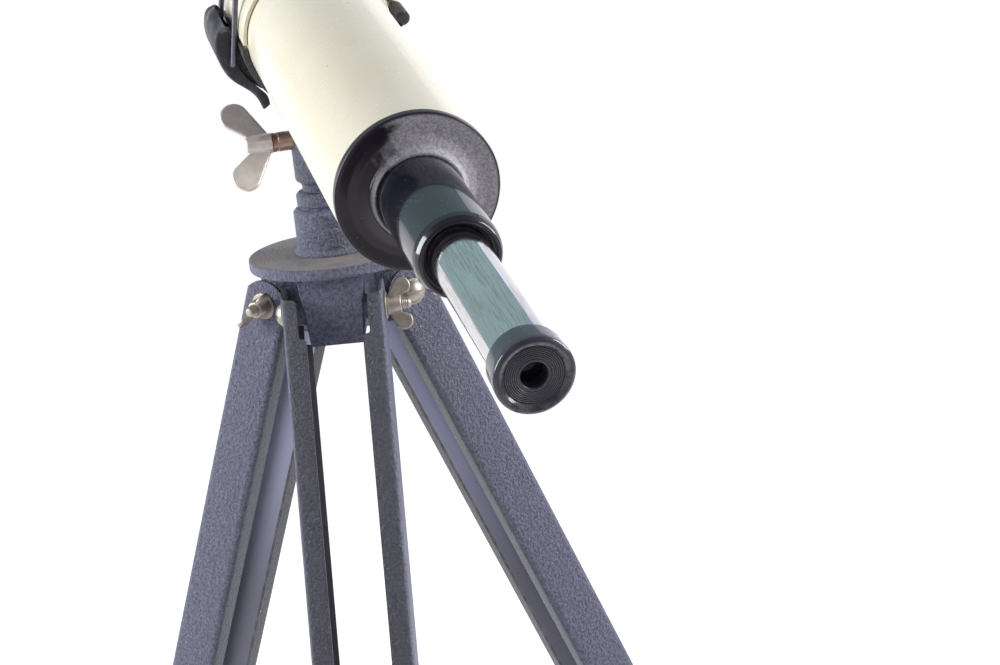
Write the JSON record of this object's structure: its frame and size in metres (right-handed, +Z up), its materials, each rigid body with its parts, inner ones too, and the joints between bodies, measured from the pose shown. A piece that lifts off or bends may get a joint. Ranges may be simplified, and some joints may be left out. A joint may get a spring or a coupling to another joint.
{
  "type": "refractor telescope",
  "caption": "Vintage refractor telescope with telescoping draw tubes, held by a latched cradle on a pan and tilt head over a folding channel-leg tripod.",
  "frame": {"origin": "on the floor, below the tripod's vertical pan axis", "axes": "+Z up; the eyepiece end points towards -Y, a little to +X, and the objective end towards +Y"},
  "size_m": [0.6221, 0.7741, 1.0217],
  "materials": {
    "cream_enamel": "glossy baked enamel, slightly yellowed",
    "black_bakelite": "moulded phenolic with a fine dusty grain",
    "gloss_black": "polished black lacquer",
    "chrome_plate": "bright plate with brown wear streaks",
    "satin_black": "satin black paint",
    "wrinkle_black": "crackle-finish black paint with a purple-grey sheen, smooth grey-blue inside the channels",
    "cork": "pressed cork sheet",
    "felt": "black wool felt",
    "nickel": "dull nickel plate, yellowed",
    "rusty_steel": "bare steel browned by rust",
    "steel": "plain bright steel",
    "wire_steel": "grey spring wire",
    "flat_black": "flat black anti-reflection paint",
    "brass": "plain turned brass",
    "lens_glass": "polished optical glass",
    "rubber": "black moulded rubber"
  },
  "bodies": {
    "head": {"tripod_hub": "wrinkle_black", "azimuth_post": "wrinkle_black"},
    "yoke_body": {"yoke": "wrinkle_black", "pan_screw": "steel", "pan_washer": "steel", "tilt_ferrule": "rusty_steel", "tilt_nut": "nickel"},
    "tilt_bolt": {"tilt_wing_bolt": "nickel"},
    "cradle": {"cradle_bracket": "wrinkle_black", "saddle_band": "wrinkle_black", "saddle_rivets": "steel", "lower_liner": "cork", "hinge_pin": "steel", "lever_pin": "satin_black"},
    "strap_body": {"strap": "cream_enamel", "strap_hook": "satin_black", "upper_liner": "cork"},
    "lever_body": {"latch_lever": "satin_black"},
    "bail_body": {"bail": "wire_steel"},
    "tube": {"main_tube": "cream_enamel", "rear_cap": "black_bakelite", "draw_tube_felt": "felt", "light_baffles": "flat_black", "objective_cell": "gloss_black", "flint_lens": "lens_glass", "lens_spacer": "flat_black", "crown_lens": "lens_glass", "retaining_ring": "flat_black", "dew_shield": "cream_enamel"},
    "draw_tube": {"focus_tube": "gloss_black", "collar_ring": "gloss_black"},
    "eyepiece": {"eyepiece_tube": "chrome_plate", "eyepiece_head": "gloss_black", "eye_lens": "lens_glass", "eyepiece_barrel": "brass", "field_stop": "flat_black", "field_lens": "lens_glass", "erector_tube": "brass", "erector_lenses": "lens_glass"},
    "front_leg": {"front_leg_rail_left": "wrinkle_black", "front_leg_rail_right": "wrinkle_black", "front_leg_bolts": "nickel"},
    "front_leg_lower": {"front_leg_extension": "wrinkle_black", "front_leg_foot": "rubber"},
    "front_leg_pivot_wing": {"front_leg_pivot_nut": "nickel"},
    "front_leg_clamp_wing": {"front_leg_clamp_nut": "nickel"},
    "right_leg": {"right_leg_rail_left": "wrinkle_black", "right_leg_rail_right": "wrinkle_black", "right_leg_bolts": "nickel"},
    "right_leg_lower": {"right_leg_extension": "wrinkle_black", "right_leg_foot": "rubber"},
    "right_leg_pivot_wing": {"right_leg_pivot_nut": "nickel"},
    "right_leg_clamp_wing": {"right_leg_clamp_nut": "nickel"},
    "left_leg": {"left_leg_rail_left": "wrinkle_black", "left_leg_rail_right": "wrinkle_black", "left_leg_bolts": "nickel"},
    "left_leg_lower": {"left_leg_extension": "wrinkle_black", "left_leg_foot": "rubber"},
    "left_leg_pivot_wing": {"left_leg_pivot_nut": "nickel"},
    "left_leg_clamp_wing": {"left_leg_clamp_nut": "nickel"}
  },
  "joints": [
    {"name": "pan", "type": "hinge", "parent": "head", "child": "yoke_body", "pos_m": [0, 0, 0.8218], "axis": [0, 0, 1], "continuous": true},
    {"name": "tilt", "type": "hinge", "parent": "yoke_body", "child": "cradle", "pos_m": [0, 0, 0.8455], "axis": [0.988, 0.1547, 0], "range_deg": [-35, 55]},
    {"name": "tilt_bolt_turn", "type": "hinge", "parent": "yoke_body", "child": "tilt_bolt", "pos_m": [0, 0, 0.8455], "axis": [0.988, 0.1547, 0], "continuous": true},
    {"name": "lever_swing", "type": "hinge", "parent": "cradle", "child": "lever_body", "pos_m": [-0.03595, -0.01086, 0.89959], "axis": [-0.1514, 0.9671, 0.2045], "range_deg": [0, 95]},
    {"name": "bail_swing", "type": "hinge", "parent": "lever_body", "child": "bail_body", "pos_m": [-0.03467, -0.00803, 0.88715], "axis": [-0.1514, 0.9671, 0.2045], "range_deg": [-190, 0]},
    {"name": "strap_open", "type": "hinge", "parent": "cradle", "child": "strap_body", "pos_m": [0.03742, 0.00021, 0.90154], "axis": [-0.1514, 0.9671, 0.2045], "range_deg": [0, 11.4]},
    {"name": "tube_slide", "type": "slide", "parent": "cradle", "child": "tube", "axis": [-0.1514, 0.9671, 0.2045], "range_m": [-0.08, 0.08]},
    {"name": "focus_slide", "type": "slide", "parent": "tube", "child": "draw_tube", "axis": [-0.1514, 0.9671, 0.2045], "range_m": [-0.025, 0.036]},
    {"name": "eyepiece_slide", "type": "slide", "parent": "draw_tube", "child": "eyepiece", "axis": [-0.1514, 0.9671, 0.2045], "range_m": [-0.012, 0.074]},
    {"name": "front_leg_fold", "type": "hinge", "parent": "head", "child": "front_leg", "pos_m": [-0.00266, -0.02566, 0.7725], "axis": [0.9946, -0.1033, 0], "range_deg": [0, 19.5]},
    {"name": "front_leg_extend", "type": "slide", "parent": "front_leg", "child": "front_leg_lower", "axis": [-0.0384, -0.3694, -0.9285], "range_m": [-0.28, 0.1]},
    {"name": "front_leg_pivot_nut_turn", "type": "hinge", "parent": "front_leg", "child": "front_leg_pivot_wing", "pos_m": [0.0232, -0.02835, 0.7725], "axis": [0.9946, -0.1033, 0], "continuous": true},
    {"name": "front_leg_clamp_nut_turn", "type": "hinge", "parent": "front_leg", "child": "front_leg_clamp_wing", "pos_m": [0.00441, -0.20916, 0.30023], "axis": [0.9946, -0.1033, 0], "continuous": true},
    {"name": "right_leg_fold", "type": "hinge", "parent": "head", "child": "right_leg", "pos_m": [0.02356, 0.01052, 0.7725], "axis": [-0.4079, 0.913, 0], "range_deg": [0, 19.5]},
    {"name": "right_leg_extend", "type": "slide", "parent": "right_leg", "child": "right_leg_lower", "axis": [0.3391, 0.1515, -0.9285], "range_m": [-0.28, 0.1]},
    {"name": "right_leg_pivot_nut_turn", "type": "hinge", "parent": "right_leg", "child": "right_leg_pivot_wing", "pos_m": [0.01295, 0.03426, 0.7725], "axis": [-0.4079, 0.913, 0], "continuous": true},
    {"name": "right_leg_clamp_nut_turn", "type": "hinge", "parent": "right_leg", "child": "right_leg_clamp_wing", "pos_m": [0.17893, 0.1084, 0.30023], "axis": [-0.4079, 0.913, 0], "continuous": true},
    {"name": "left_leg_fold", "type": "hinge", "parent": "head", "child": "left_leg", "pos_m": [-0.02089, 0.01514, 0.7725], "axis": [-0.5868, -0.8097, 0], "range_deg": [0, 19.5]},
    {"name": "left_leg_extend", "type": "slide", "parent": "left_leg", "child": "left_leg_lower", "axis": [-0.3007, 0.2179, -0.9285], "range_m": [-0.28, 0.1]},
    {"name": "left_leg_pivot_nut_turn", "type": "hinge", "parent": "left_leg", "child": "left_leg_pivot_wing", "pos_m": [-0.03615, -0.00591, 0.7725], "axis": [-0.5868, -0.8097, 0], "continuous": true},
    {"name": "left_leg_clamp_nut_turn", "type": "hinge", "parent": "left_leg", "child": "left_leg_clamp_wing", "pos_m": [-0.18335, 0.10076, 0.30023], "axis": [-0.5868, -0.8097, 0], "continuous": true}
  ],
  "couplings": [
    {"joint": "bail_swing", "follows": "lever_swing", "ratio": -2},
    {"joint": "strap_open", "follows": "lever_swing", "ratio": 0.12}
  ]
}
